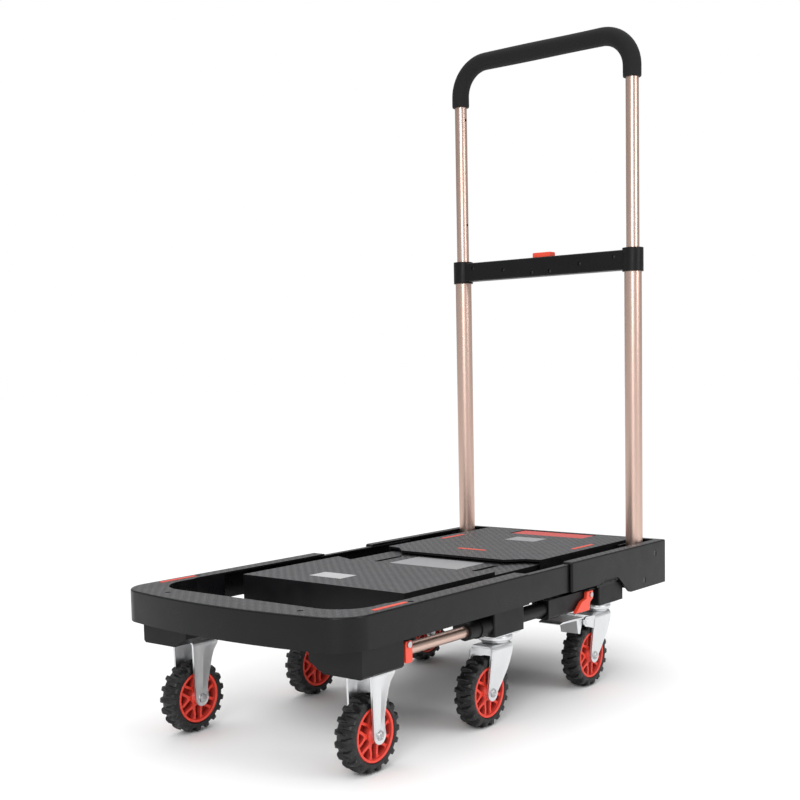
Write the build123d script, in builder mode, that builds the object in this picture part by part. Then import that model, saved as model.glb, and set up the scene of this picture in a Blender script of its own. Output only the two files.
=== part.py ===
from build123d import *
import os

# Folding platform cart with six wheels and a telescoping handle.
# Millimetres. +X points to the front, +Y to the cart's left, +Z up.
# The origin is on the floor under the middle of the extended cart.

# ---- driving dimensions -------------------------------------------------------------
DECK_LENGTH = 832.0
HALF_WIDTH = 200.5
DECK_TOP = 211.0

WHEEL_RADIUS = 50.0
TYRE_WIDTH = 31.0
HUB_RADIUS = 35.5
WHEEL_TRACK = 160.5
FRONT_AXLE = 727.0
MIDDLE_KINGPIN = 445.0
REAR_KINGPIN = 164.0
TRAIL = 34.0

TUBE_STATION = 48.3
TUBE_TRACK = 169.0
PIVOT_HEIGHT = 187.0
LOWER_TUBE_RADIUS = 14.0
UPPER_TUBE_RADIUS = 10.5
LOWER_TUBE_TOP = 672.0
HANDLE_BAR_HEIGHT = 1032.0
HANDLE_BEND = 54.0
GRIP_RADIUS = 15.0
GRIP_BOTTOM = 960.0

GUIDE_TRACK = 176.0
GUIDE_HEIGHT = 146.0
GUIDE_RADIUS = 8.0

# nesting frames: outer half width, wall, top of the flange, bottom of the wall
REAR_WALL = 4.0
REAR_FRONT = 299.0
MIDDLE_OUTER = 195.5
MIDDLE_WALL = 3.0
MIDDLE_TOP = 207.2
MIDDLE_BOTTOM = 166.5
MIDDLE_BACK = 195.0
MIDDLE_WALL_FRONT = 520.0
MIDDLE_FRONT = 633.0
FRONT_OUTER = 205.0
FRONT_WALL = 3.0
FRONT_TOP = 211.0
FRONT_BOTTOM = 168.0
FRONT_BACK = 423.0
FRONT_INNER = 777.0
FLANGE_INNER = 185.0
PANEL_HALF = 147.5

SWIVEL_GAP = 16.5
FRONT_GAP = 18.0
FORK_PLATE = 3.0
BLOCK_BOTTOM = 131.0
RUNNING = 0.05


def station(distance):
    """X of a point that lies this far ahead of the rear wall."""
    return distance - DECK_LENGTH / 2


def level(height):
    """Horizontal sketch plane at a height above the floor."""
    return Plane.XY.offset(height)


def upright(distance):
    """Sketch plane across the cart: local x is +Y, local y is +Z, normal is +X."""
    return Plane.YZ.offset(station(distance))


def lengthwise(side):
    """Sketch plane along the cart: local x is +X, local y is +Z, its normal points to -Y."""
    return Plane.XZ.offset(-side)


def block(x_from, x_to, y_from, y_to, z_from, z_to, mode=Mode.ADD):
    """A box between two stations, two sides and two heights, in the part being built."""
    centre = ((station(x_from) + station(x_to)) / 2, (y_from + y_to) / 2, (z_from + z_to) / 2)
    with Locations(centre):
        Box(x_to - x_from, y_to - y_from, z_to - z_from, mode=mode)


def both_sides(x_from, x_to, y_from, y_to, z_from, z_to, mode=Mode.ADD):
    """The same box on the left and on the right of the cart."""
    block(x_from, x_to, y_from, y_to, z_from, z_to, mode)
    block(x_from, x_to, -y_to, -y_from, z_from, z_to, mode)


def cross_pin(distance, height, y_from, y_to, radius, mode=Mode.ADD):
    """A round bar along Y between two sides."""
    with Locations(Location((station(distance), (y_from + y_to) / 2, height), (90, 0, 0))):
        Cylinder(radius, y_to - y_from, mode=mode)


def long_bar(side, height, x_from, x_to, radius, mode=Mode.ADD):
    """A round bar along X between two stations."""
    with Locations(Location(((station(x_from) + station(x_to)) / 2, side, height), (0, 90, 0))):
        Cylinder(radius, x_to - x_from, mode=mode)


def post(distance, side, z_from, z_to, radius, mode=Mode.ADD):
    """A round bar along Z between two heights."""
    with Locations((station(distance), side, (z_from + z_to) / 2)):
        Cylinder(radius, z_to - z_from, mode=mode)


def save(piece, name):
    """Label a finished piece and write it as its own file."""
    piece.part.label = name
    export_step(piece.part, f"parts/{name}.step")


os.makedirs("parts", exist_ok=True)

# =====================================================================================
# Rear frame: the outermost of the three nesting frames
# =====================================================================================
BASE_BOTTOM = 160.0
BASE_TOP = 163.0
REAR_FLANGE = 3.0
BLOCK_REAR = (133.0, 209.0)
SCREW_SITES = ((35.6, 192.3), (72.4, 152.7))

with BuildPart() as rear_frame:
    with BuildSketch(Plane.XZ) as rear_side:
        with BuildLine():
            outline = [(0, 140), (121, 140), (160, 170), (203, 170), (217, 166)]
            outline += [(REAR_FRONT, 166), (REAR_FRONT, DECK_TOP), (0, DECK_TOP)]
            Polyline([(station(x), z) for x, z in outline], close=True)
        make_face()
        low_corners = rear_side.vertices().filter_by_position(Axis.X, station(110), station(165))
        fillet(low_corners, 12)
    extrude(amount=HALF_WIDTH, both=True)
    outer_edges = rear_frame.edges().filter_by(Axis.X).group_by(Axis.Z)[-1]
    fillet(outer_edges, 2.5)
    front_edges = rear_frame.edges().filter_by(Axis.Z).group_by(Axis.X)[-1]
    fillet(front_edges, 3.5)
    inner = HALF_WIDTH - REAR_WALL
    block(REAR_WALL, REAR_FRONT + 1, -inner, inner, 130, DECK_TOP - REAR_FLANGE, Mode.SUBTRACT)
    block(10, REAR_FRONT + 1, -FLANGE_INNER, FLANGE_INNER, 200, DECK_TOP + 1, Mode.SUBTRACT)
    # base plate
    block(REAR_WALL, 141, -inner, inner, BASE_BOTTOM, BASE_TOP)
    block(141, 215, -194, 194, BASE_BOTTOM, BASE_TOP)
    # ribs under the deep rear part
    for rib in (20.0, 48.0, 76.0, 104.0):
        block(rib, rib + 2.5, -inner, inner, 143, BASE_BOTTOM)
    # cheeks that hold the handle pivot
    both_sides(28, 70, 149.5, 153.5, BASE_TOP, 206)
    both_sides(28, 70, 184.6, inner, BASE_TOP, 206)
    cross_pin(TUBE_STATION, PIVOT_HEIGHT, -inner + 1, inner - 1, 4.0, Mode.SUBTRACT)
    # recesses for the side screws
    for distance, height in SCREW_SITES:
        cross_pin(distance, height, HALF_WIDTH - 2.5, HALF_WIDTH + 1, 4.6, Mode.SUBTRACT)
        cross_pin(distance, height, -HALF_WIDTH - 1, -HALF_WIDTH + 2.5, 4.6, Mode.SUBTRACT)
save(rear_frame, "rear_frame")

with BuildPart() as side_wall_screws:
    for distance, height in SCREW_SITES:
        cross_pin(distance, height, HALF_WIDTH - 2.5, HALF_WIDTH - 0.6, 4.3)
        cross_pin(distance, height, HALF_WIDTH - 0.9, HALF_WIDTH, 1.8, Mode.SUBTRACT)
    mirror(about=Plane.XZ)
save(side_wall_screws, "side_wall_screws")

# Rear deck panel: a tray that the middle deck slides under
PANEL_SKIN = 3.5
PANEL_FRONT = 329.0
STRIP_DEPTH = 1.0
STRIP_PROUD = 0.4
REAR_STRIPS = ((260.0, -9.0, 7.0, 54.0), (147.0, 129.0, 62.0, 7.0), (147.0, -129.0, 62.0, 7.0))
REAR_LABEL = (115.5, 0.0, 41.0, 58.0)
PEDAL_NOTCH = (10.0, 60.0, -70.0, 77.0)
PEDAL_PIVOT = (20.0, 201.0)


def panel_outline():
    """Plan of the rear panel, with its cut-off front corners and its pedal notch."""
    notch_x, notch_front, notch_right, notch_left = PEDAL_NOTCH
    right_side = [(notch_x + 1, notch_right), (notch_x + 1, -PANEL_HALF), (300.5, -PANEL_HALF)]
    front = [(305, -122), (PANEL_FRONT, -98), (PANEL_FRONT, 98), (305, 122)]
    left_side = [(300.5, PANEL_HALF), (notch_x + 1, PANEL_HALF), (notch_x + 1, notch_left)]
    notch = [(notch_front, notch_left), (notch_front, notch_right)]
    return [(station(x), y) for x, y in right_side + front + left_side + notch]


with BuildPart() as rear_deck_panel:
    with BuildSketch(level(DECK_TOP - PANEL_SKIN)):
        with BuildLine():
            Polyline(panel_outline(), close=True)
        make_face()
    extrude(amount=PANEL_SKIN)
    both_sides(11, 300, PANEL_HALF - 3, PANEL_HALF, 174, DECK_TOP - PANEL_SKIN)
    both_sides(60, 63, 0, PANEL_HALF - 3, 190, DECK_TOP - PANEL_SKIN)
    both_sides(60, 300, 40, 43, 204.6, DECK_TOP - PANEL_SKIN)
    both_sides(60, 300, 95, 98, 204.6, DECK_TOP - PANEL_SKIN)
    for distance in (24.0, 88.0):
        for side in (-118.0, 118.0):
            post(distance, side, BASE_TOP, DECK_TOP - PANEL_SKIN, 7)
    # lugs for the pedal pin, beside the notch
    block(13, 27, -77, -71, 196, DECK_TOP - PANEL_SKIN)
    block(13, 27, 78, 84, 196, DECK_TOP - PANEL_SKIN)
    cross_pin(PEDAL_PIVOT[0], PEDAL_PIVOT[1], -77, 84, 2.0, Mode.SUBTRACT)
    for distance, side, length, width in REAR_STRIPS + (REAR_LABEL,):
        block(distance - length / 2, distance + length / 2, side - width / 2, side + width / 2,
              DECK_TOP - STRIP_DEPTH, DECK_TOP + 1, Mode.SUBTRACT)
save(rear_deck_panel, "rear_deck_panel")


def inlays(name, sites, top, proud):
    """Flat inlaid strips or plates that sit in shallow pockets of a panel."""
    with BuildPart() as inlay:
        for distance, side, length, width in sites:
            block(distance - length / 2, distance + length / 2, side - width / 2,
                  side + width / 2, top - STRIP_DEPTH, top + proud)
    save(inlay, name)


inlays("rear_deck_strips", REAR_STRIPS, DECK_TOP, STRIP_PROUD)
inlays("rear_deck_plate", (REAR_LABEL,), DECK_TOP, 0.2)

# Handle release pedal, hinged at its back edge
PEDAL_SIDES = (-67.5, 74.5)
with BuildPart() as handle_pedal:
    block(14, 57.5, PEDAL_SIDES[0], PEDAL_SIDES[1], 207, 210.5)
    block(54.5, 57.5, PEDAL_SIDES[0], PEDAL_SIDES[1], 202, 207)
    block(30, 34, PEDAL_SIDES[0] + 8, PEDAL_SIDES[1] - 8, 196, 207)
    cross_pin(PEDAL_PIVOT[0], PEDAL_PIVOT[1], -60, -45, 4.2)
    cross_pin(PEDAL_PIVOT[0], PEDAL_PIVOT[1], 52, 67, 4.2)
    block(16, 24, -60, -45, PEDAL_PIVOT[1], 207)
    block(16, 24, 52, 67, PEDAL_PIVOT[1], 207)
    cross_pin(PEDAL_PIVOT[0], PEDAL_PIVOT[1], -60, 67, 2.0 + RUNNING, Mode.SUBTRACT)
save(handle_pedal, "handle_pedal")

# Rear caster blocks, under the base plate
with BuildPart() as rear_caster_blocks:
    both_sides(BLOCK_REAR[0], BLOCK_REAR[1], 120, 194, BLOCK_BOTTOM, BASE_BOTTOM)
    fillet(rear_caster_blocks.edges().filter_by(Axis.Z), 2.0)
save(rear_caster_blocks, "rear_caster_blocks")

# Guide brackets: sleeves that swallow the middle collar when the cart is collapsed
BRACKET = (235.0, 347.0)
LEVER_PIVOT_REAR = (236.0, 153.0)
with BuildPart() as rear_guide_brackets:
    both_sides(BRACKET[0], BRACKET[1], 160, 189, 131, BASE_BOTTOM)
    both_sides(BLOCK_REAR[1], BRACKET[1], 156, 189, BASE_BOTTOM - 3, BASE_BOTTOM)
    fillet(rear_guide_brackets.edges().filter_by(Axis.X).group_by(Axis.Z)[0], 5.0)
    for side in (-GUIDE_TRACK + 1, GUIDE_TRACK - 1):
        long_bar(side, GUIDE_HEIGHT - 0.5, BRACKET[0] - 1, BRACKET[1] + 1, 12.2, Mode.SUBTRACT)
    both_sides(240, 260, 159, 162, 136, 155, Mode.SUBTRACT)
save(rear_guide_brackets, "rear_guide_brackets")

# =====================================================================================
# Middle frame and deck
# =====================================================================================
MIDDLE_FLOOR = 3.0
BLOCK_MIDDLE = (417.0, 491.0)
COLLAR_FRONT = 540.0
COLLAR_BACK = 318.0

with BuildPart() as middle_frame:
    block(MIDDLE_BACK, MIDDLE_WALL_FRONT, -MIDDLE_OUTER, MIDDLE_OUTER, MIDDLE_BOTTOM, MIDDLE_TOP)
    fillet(middle_frame.edges().filter_by(Axis.X).group_by(Axis.Z)[-1], 2.0)
    inner = MIDDLE_OUTER - MIDDLE_WALL
    block(MIDDLE_BACK - 1, MIDDLE_WALL_FRONT + 1, -inner, inner,
          MIDDLE_BOTTOM + MIDDLE_FLOOR, MIDDLE_TOP - 2.8, Mode.SUBTRACT)
    block(MIDDLE_BACK - 1, MIDDLE_WALL_FRONT + 1, -FLANGE_INNER, FLANGE_INNER,
          200, MIDDLE_TOP + 1, Mode.SUBTRACT)
    block(MIDDLE_WALL_FRONT, MIDDLE_FRONT, -152, 152, MIDDLE_BOTTOM, MIDDLE_BOTTOM + MIDDLE_FLOOR)
save(middle_frame, "middle_frame")

RAISED_BACK = 441.0
RAISED_HALF = 149.0
RAISED_TOP = 210.0
LOWER_TOP = 203.0
LOWER_HALF = 141.0
MIDDLE_PLATE = (365.5, 0.0, 73.0, 128.0)
BLANK_LABEL = (571.5, -30.0, 35.0, 59.0)
FLOOR_TOP = MIDDLE_BOTTOM + MIDDLE_FLOOR

with BuildPart() as middle_deck_panel:
    with BuildSketch(level(FLOOR_TOP)):
        with BuildLine():
            raised = [(425, -RAISED_HALF), (MIDDLE_FRONT, -RAISED_HALF), (MIDDLE_FRONT, RAISED_HALF)]
            raised += [(425, RAISED_HALF), (RAISED_BACK, 108), (RAISED_BACK, -108)]
            Polyline([(station(x), y) for x, y in raised], close=True)
        make_face()
    extrude(amount=RAISED_TOP - FLOOR_TOP)
    block(MIDDLE_BACK + 3, RAISED_BACK + 2, -LOWER_HALF, LOWER_HALF, FLOOR_TOP, LOWER_TOP)
    block(RAISED_BACK + 4, MIDDLE_FRONT - 3.5, -RAISED_HALF + 3.5, RAISED_HALF - 3.5,
          FLOOR_TOP - 1, RAISED_TOP - 3.5, Mode.SUBTRACT)
    block(MIDDLE_BACK - 1, RAISED_BACK + 5, -LOWER_HALF + 3.5, LOWER_HALF - 3.5,
          FLOOR_TOP - 1, LOWER_TOP - 3.5, Mode.SUBTRACT)
    # long slots in the lower part of the deck
    with BuildSketch(level(LOWER_TOP + 1)):
        with Locations((station(369), -93), (station(369), 93)):
            SlotOverall(62, 9)
    extrude(amount=-10, mode=Mode.SUBTRACT)
    for distance, side, length, width, top in (MIDDLE_PLATE + (LOWER_TOP,),
                                               BLANK_LABEL + (RAISED_TOP,)):
        block(distance - length / 2, distance + length / 2, side - width / 2, side + width / 2,
              top - STRIP_DEPTH, top + 1, Mode.SUBTRACT)
    # ribs inside the raised part
    for distance in (500.0, 565.0):
        block(distance, distance + 2.5, -RAISED_HALF + 3, RAISED_HALF - 3, FLOOR_TOP + 12, 207)
save(middle_deck_panel, "middle_deck_panel")

inlays("middle_deck_plate", (MIDDLE_PLATE,), LOWER_TOP, 0.3)
inlays("blank_label", (BLANK_LABEL,), RAISED_TOP, 0.1)

with BuildPart() as middle_caster_blocks:
    both_sides(BLOCK_MIDDLE[0], BLOCK_MIDDLE[1], 120, 192, BLOCK_BOTTOM, MIDDLE_BOTTOM)
    fillet(middle_caster_blocks.edges().filter_by(Axis.Z), 2.0)
    for side in (-GUIDE_TRACK, GUIDE_TRACK):
        long_bar(side, GUIDE_HEIGHT, BLOCK_MIDDLE[1] - 1, COLLAR_FRONT, 12.5)
        long_bar(side, GUIDE_HEIGHT, BLOCK_MIDDLE[1] - 1, 515, 14.0)
        long_bar(side, GUIDE_HEIGHT, COLLAR_BACK, BLOCK_MIDDLE[0] + 1, 10.8)
        long_bar(side, GUIDE_HEIGHT, COLLAR_BACK - 1, COLLAR_FRONT + 1, GUIDE_RADIUS + RUNNING,
                 Mode.SUBTRACT)
save(middle_caster_blocks, "middle_caster_blocks")

# =====================================================================================
# Front frame: a U-shaped hollow rail that slides over the middle frame
# =====================================================================================
BOW_RISE = 24.0
CORNER_OUTER = 46.0
CORNER_INNER = 52.0
FRONT_FLANGE_INNER = 180.0
RAIL_INNER = 176.0
BEAM_BACK = 700.0
INNER_WALL_BACK = 640.0
FRONT_PLATE = (FRONT_BOTTOM, FRONT_BOTTOM + 3)


def u_outline(inset):
    """Plan of the U: straight sides and a bowed front with rounded corners."""
    side = FRONT_OUTER - inset
    nose = DECK_LENGTH - inset
    with BuildSketch(Plane.XY, mode=Mode.PRIVATE) as plan:
        with BuildLine():
            Polyline((station(nose - BOW_RISE), side), (station(FRONT_BACK), side),
                     (station(FRONT_BACK), -side), (station(nose - BOW_RISE), -side))
            ThreePointArc((station(nose - BOW_RISE), -side), (station(nose), 0),
                          (station(nose - BOW_RISE), side))
        make_face()
        fillet(plan.vertices().group_by(Axis.X)[-1], CORNER_OUTER - inset)
    return plan.sketch


def opening_outline():
    """Plan of the opening inside the U: wide at the back, narrower between the beams."""
    with BuildSketch(Plane.XY, mode=Mode.PRIVATE) as plan:
        with BuildLine():
            back = [(FRONT_BACK - 1, FRONT_FLANGE_INNER), (BEAM_BACK - 6, FRONT_FLANGE_INNER)]
            front = [(BEAM_BACK + 4, RAIL_INNER), (FRONT_INNER, RAIL_INNER)]
            points = back + front
            points += [(x, -y) for x, y in reversed(points)]
            Polyline([(station(x), y) for x, y in points], close=True)
        make_face()
        fillet(plan.vertices().group_by(Axis.X)[-1], CORNER_INNER)
    return plan.sketch


FRONT_STRIPS = ((717.0, 193.0, 64.0, 7.0), (717.0, -193.0, 64.0, 7.0))
FRONT_SCREWS = ((678.5, 195.0), (678.5, -195.0), (799.0, 120.0), (799.0, -120.0))
SCREW_RECESS = 1.8

with BuildPart() as front_frame:
    with BuildSketch(level(FRONT_BOTTOM)):
        add(u_outline(0))
    extrude(amount=FRONT_TOP - FRONT_BOTTOM)
    fillet(front_frame.edges().group_by(Axis.Z)[-1].filter_by_position(
        Axis.X, station(FRONT_BACK) + 1, station(DECK_LENGTH) + 1), 2.6)
    # hollow from below, which leaves a skin, then open the middle of the U
    with BuildSketch(level(FRONT_BOTTOM - 1)):
        add(u_outline(FRONT_WALL))
    extrude(amount=FRONT_TOP - 2.8 - FRONT_BOTTOM + 1, mode=Mode.SUBTRACT)
    with BuildSketch(level(FRONT_BOTTOM - 1)):
        add(opening_outline())
    extrude(amount=60, mode=Mode.SUBTRACT)
    # inner wall of the beam round the front of the opening
    with BuildSketch(level(FRONT_BOTTOM)) as inner_wall:
        add(opening_outline())
        offset(amount=3.0)
        add(opening_outline(), mode=Mode.SUBTRACT)
        with Locations((station(INNER_WALL_BACK), 0)):
            Rectangle(400, 500, align=(Align.MAX, Align.CENTER), mode=Mode.SUBTRACT)
    extrude(amount=FRONT_TOP - FRONT_BOTTOM - 1)
    # plates that carry the caster blocks
    both_sides(696, 768, 108, 202.5, FRONT_PLATE[0], FRONT_PLATE[1])
    both_sides(768, 785, 108, 188, FRONT_PLATE[0], FRONT_PLATE[1])
    for distance, side, length, width in FRONT_STRIPS:
        block(distance - length / 2, distance + length / 2, side - width / 2, side + width / 2,
              FRONT_TOP - STRIP_DEPTH, FRONT_TOP + 1, Mode.SUBTRACT)
    for distance, side in FRONT_SCREWS:
        post(distance, side, FRONT_TOP - SCREW_RECESS, FRONT_TOP + 1, 4.0, Mode.SUBTRACT)
save(front_frame, "front_frame")

inlays("front_frame_strips", FRONT_STRIPS, FRONT_TOP, STRIP_PROUD)

with BuildPart() as front_frame_screws:
    for distance, side in FRONT_SCREWS:
        post(distance, side, FRONT_TOP - SCREW_RECESS, FRONT_TOP - 0.8, 3.4)
        post(distance, side, FRONT_TOP - 1.3, FRONT_TOP, 1.6, Mode.SUBTRACT)
save(front_frame_screws, "front_frame_screws")

BLOCK_FRONT = (698.0, 778.0)
FRONT_LEVER_PIVOT = (682.5, 157.0)
with BuildPart() as front_caster_blocks:
    with BuildSketch(upright(BLOCK_FRONT[0])):
        with BuildLine():
            section = [(198, FRONT_BOTTOM), (198, 134), (195, BLOCK_BOTTOM), (136, BLOCK_BOTTOM)]
            section += [(112, 144), (112, FRONT_BOTTOM)]
            Polyline(section, close=True)
        make_face()
    extrude(amount=BLOCK_FRONT[1] - BLOCK_FRONT[0])
    block(676, 699, 184.4, 187.5, 150, FRONT_BOTTOM)
    long_bar(GUIDE_TRACK, GUIDE_HEIGHT, 690, 715, GUIDE_RADIUS, Mode.SUBTRACT)
    cross_pin(FRONT_LEVER_PIVOT[0], FRONT_LEVER_PIVOT[1], 181, 188, 2.5, Mode.SUBTRACT)
    mirror(about=Plane.XZ)
save(front_caster_blocks, "front_caster_blocks")

GUIDE_BACK = 432.0
with BuildPart() as guide_tubes:
    for side in (-GUIDE_TRACK, GUIDE_TRACK):
        long_bar(side, GUIDE_HEIGHT, GUIDE_BACK, 715, GUIDE_RADIUS)
        long_bar(side, GUIDE_HEIGHT, GUIDE_BACK - 1, 716, GUIDE_RADIUS - 1.2, Mode.SUBTRACT)
save(guide_tubes, "guide_tubes")

# =====================================================================================
# Red extension locks: two at the back, two at the front
# =====================================================================================
REAR_LEVER_SHAPE = [(229, 159), (229, 147), (238, 142), (240, 130), (281, 130.5), (262, 146),
                    (248, 149), (246, 159)]


def rear_lever(name, y_from):
    """Wedge-shaped lock lever with its pivot hole, six millimetres thick."""
    with BuildPart() as lever:
        with BuildSketch(lengthwise(y_from)):
            with BuildLine():
                Polyline([(station(x), z) for x, z in REAR_LEVER_SHAPE], close=True)
            make_face()
        extrude(amount=-6.0)
        cross_pin(LEVER_PIVOT_REAR[0], LEVER_PIVOT_REAR[1], y_from - 1, y_from + 7,
                  2.5 + RUNNING, Mode.SUBTRACT)
    save(lever, name)


rear_lever("rear_lever_left", 189.6)
rear_lever("rear_lever_right", -195.6)


def front_lever(name, y_from):
    """Flat lock tab that hangs behind the front caster block."""
    with BuildPart() as lever:
        block(676, 689.5, y_from, y_from + 6, 134, 161.5)
        fillet(lever.edges().filter_by(Axis.Y), 2.5)
        cross_pin(FRONT_LEVER_PIVOT[0], FRONT_LEVER_PIVOT[1], y_from - 1, y_from + 7,
                  2.5 + RUNNING, Mode.SUBTRACT)
    save(lever, name)


front_lever("front_lever_left", 188.2)
front_lever("front_lever_right", -194.2)

with BuildPart() as front_lever_pins:
    cross_pin(FRONT_LEVER_PIVOT[0], FRONT_LEVER_PIVOT[1], 184.4, 194.4, 2.5)
    cross_pin(FRONT_LEVER_PIVOT[0], FRONT_LEVER_PIVOT[1], 194.4, 195.9, 4.0)
    mirror(about=Plane.XZ)
save(front_lever_pins, "front_lever_pins")

with BuildPart() as rear_pivot_pins:
    cross_pin(LEVER_PIVOT_REAR[0], LEVER_PIVOT_REAR[1], 189, 195.8, 2.5)
    cross_pin(LEVER_PIVOT_REAR[0], LEVER_PIVOT_REAR[1], 195.8, 197.3, 4.0)
    cross_pin(TUBE_STATION, PIVOT_HEIGHT, 149.5, HALF_WIDTH - REAR_WALL - 1, 4.0)
    mirror(about=Plane.XZ)
    cross_pin(PEDAL_PIVOT[0], PEDAL_PIVOT[1], -77, 84, 2.0)
save(rear_pivot_pins, "rear_pivot_pins")

# =====================================================================================
# Handle: lower tubes on knuckles, a moulded cross bar, and a telescoping U tube
# =====================================================================================
TUBE_WALL = 1.2
TUBE_BOTTOM = 201.0
UPPER_TUBE_BOTTOM = 500.0
GLIDE_RADIUS = LOWER_TUBE_RADIUS - TUBE_WALL - RUNNING
UPRIGHT_X = station(TUBE_STATION)

with BuildPart() as lower_tubes:
    for side in (-TUBE_TRACK, TUBE_TRACK):
        post(TUBE_STATION, side, TUBE_BOTTOM, LOWER_TUBE_TOP, LOWER_TUBE_RADIUS)
        post(TUBE_STATION, side, TUBE_BOTTOM - 1, LOWER_TUBE_TOP + 1,
             LOWER_TUBE_RADIUS - TUBE_WALL, Mode.SUBTRACT)
save(lower_tubes, "lower_tubes")

with BuildPart() as handle_knuckles:
    cross_pin(TUBE_STATION, PIVOT_HEIGHT, TUBE_TRACK - 14, TUBE_TRACK + 14, 13.5)
    block(TUBE_STATION - 13.5, TUBE_STATION + 13.5, TUBE_TRACK - 14, TUBE_TRACK + 14,
          PIVOT_HEIGHT, TUBE_BOTTOM)
    post(TUBE_STATION, TUBE_TRACK, TUBE_BOTTOM - 1, 222, LOWER_TUBE_RADIUS - TUBE_WALL)
    cross_pin(TUBE_STATION, PIVOT_HEIGHT, TUBE_TRACK - 15, TUBE_TRACK + 15, 4.0 + RUNNING,
              Mode.SUBTRACT)
    mirror(about=Plane.XZ)
save(handle_knuckles, "handle_knuckles")

BAR_BOTTOM = 655.0
BAR_TOP = 687.0
SLEEVE_BOTTOM = 652.0
SLEEVE_TOP = 690.0
SLEEVE_RADIUS = 17.0
BAR_HALF_DEPTH = 12.0
BAR_SCREWS = ((-140.0, 677.0), (-76.0, 670.0), (-18.0, 662.0), (18.0, 662.0), (76.0, 670.0),
              (140.0, 677.0))
BUTTON_HALF = 17.5


def crossbar_shell(name, forward):
    """Front (forward = 1) or back (forward = -1) half of the cross bar's housing."""
    with BuildPart() as shell:
        block(TUBE_STATION - BAR_HALF_DEPTH, TUBE_STATION + BAR_HALF_DEPTH, -TUBE_TRACK,
              TUBE_TRACK, BAR_BOTTOM, BAR_TOP)
        fillet(shell.edges().filter_by(Axis.Y), 2.5)
        for side in (-TUBE_TRACK, TUBE_TRACK):
            post(TUBE_STATION, side, SLEEVE_BOTTOM, SLEEVE_TOP, SLEEVE_RADIUS)
        block(TUBE_STATION - 9.5, TUBE_STATION + 9.5, -148, 148, BAR_BOTTOM + 3, BAR_TOP - 2.5,
              Mode.SUBTRACT)
        for side in (-TUBE_TRACK, TUBE_TRACK):
            post(TUBE_STATION, side, SLEEVE_BOTTOM - 1, LOWER_TUBE_TOP, LOWER_TUBE_RADIUS,
                 Mode.SUBTRACT)
            post(TUBE_STATION, side, LOWER_TUBE_TOP - 1, SLEEVE_TOP + 1,
                 UPPER_TUBE_RADIUS + RUNNING, Mode.SUBTRACT)
        block(TUBE_STATION - 8.5, TUBE_STATION + 8.5, -BUTTON_HALF - 0.5, BUTTON_HALF + 0.5,
              BAR_TOP - 5, BAR_TOP + 1, Mode.SUBTRACT)
        if forward > 0:
            for side, height in BAR_SCREWS:
                long_bar(side, height, TUBE_STATION, TUBE_STATION + BAR_HALF_DEPTH - 2, 5.0)
            for side, height in BAR_SCREWS:
                long_bar(side, height, TUBE_STATION + 7, TUBE_STATION + 13, 3.2, Mode.SUBTRACT)
        cut_from = TUBE_STATION - 20 if forward > 0 else TUBE_STATION
        block(cut_from, cut_from + 20, -200, 200, SLEEVE_BOTTOM - 1, SLEEVE_TOP + 1, Mode.SUBTRACT)
    save(shell, name)


crossbar_shell("crossbar_front_shell", 1)
crossbar_shell("crossbar_rear_shell", -1)

with BuildPart() as crossbar_screws:
    for side, height in BAR_SCREWS:
        long_bar(side, height, TUBE_STATION + 7, TUBE_STATION + 9.5, 3.0)
        long_bar(side, height, TUBE_STATION + 8.5, TUBE_STATION + 10, 1.4, Mode.SUBTRACT)
save(crossbar_screws, "crossbar_screws")

with BuildPart() as release_button:
    block(TUBE_STATION - 8, TUBE_STATION + 8, -BUTTON_HALF, BUTTON_HALF, 679, 695)
    fillet(release_button.edges().group_by(Axis.Z)[-1], 1.5)
save(release_button, "release_button")

with BuildPart() as upper_handle_tube:
    with BuildLine(upright(TUBE_STATION)) as handle_path:
        FilletPolyline((-TUBE_TRACK, UPPER_TUBE_BOTTOM), (-TUBE_TRACK, HANDLE_BAR_HEIGHT),
                       (TUBE_TRACK, HANDLE_BAR_HEIGHT), (TUBE_TRACK, UPPER_TUBE_BOTTOM),
                       radius=HANDLE_BEND)
    with BuildSketch(Plane((UPRIGHT_X, -TUBE_TRACK, UPPER_TUBE_BOTTOM), z_dir=(0, 0, 1))):
        Circle(UPPER_TUBE_RADIUS)
        Circle(UPPER_TUBE_RADIUS - TUBE_WALL, mode=Mode.SUBTRACT)
    sweep(path=handle_path.wire())
    for height in (755.0, 938.0):
        cross_pin(TUBE_STATION, height, TUBE_TRACK - 12, TUBE_TRACK, 2.5, Mode.SUBTRACT)
        cross_pin(TUBE_STATION, height, -TUBE_TRACK, -TUBE_TRACK + 12, 2.5, Mode.SUBTRACT)
save(upper_handle_tube, "upper_handle_tube")

with BuildPart() as foam_grip:
    with BuildLine(upright(TUBE_STATION)) as grip_path:
        FilletPolyline((-TUBE_TRACK, GRIP_BOTTOM), (-TUBE_TRACK, HANDLE_BAR_HEIGHT),
                       (TUBE_TRACK, HANDLE_BAR_HEIGHT), (TUBE_TRACK, GRIP_BOTTOM),
                       radius=HANDLE_BEND)
    with BuildSketch(Plane((UPRIGHT_X, -TUBE_TRACK, GRIP_BOTTOM), z_dir=(0, 0, 1))):
        Circle(GRIP_RADIUS)
        Circle(UPPER_TUBE_RADIUS, mode=Mode.SUBTRACT)
    sweep(path=grip_path.wire())
save(foam_grip, "foam_grip")

with BuildPart() as tube_glides:
    for side in (-TUBE_TRACK, TUBE_TRACK):
        post(TUBE_STATION, side, UPPER_TUBE_BOTTOM - 12, UPPER_TUBE_BOTTOM, GLIDE_RADIUS)
        post(TUBE_STATION, side, UPPER_TUBE_BOTTOM, UPPER_TUBE_BOTTOM + 14,
             UPPER_TUBE_RADIUS - TUBE_WALL)
save(tube_glides, "tube_glides")

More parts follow.
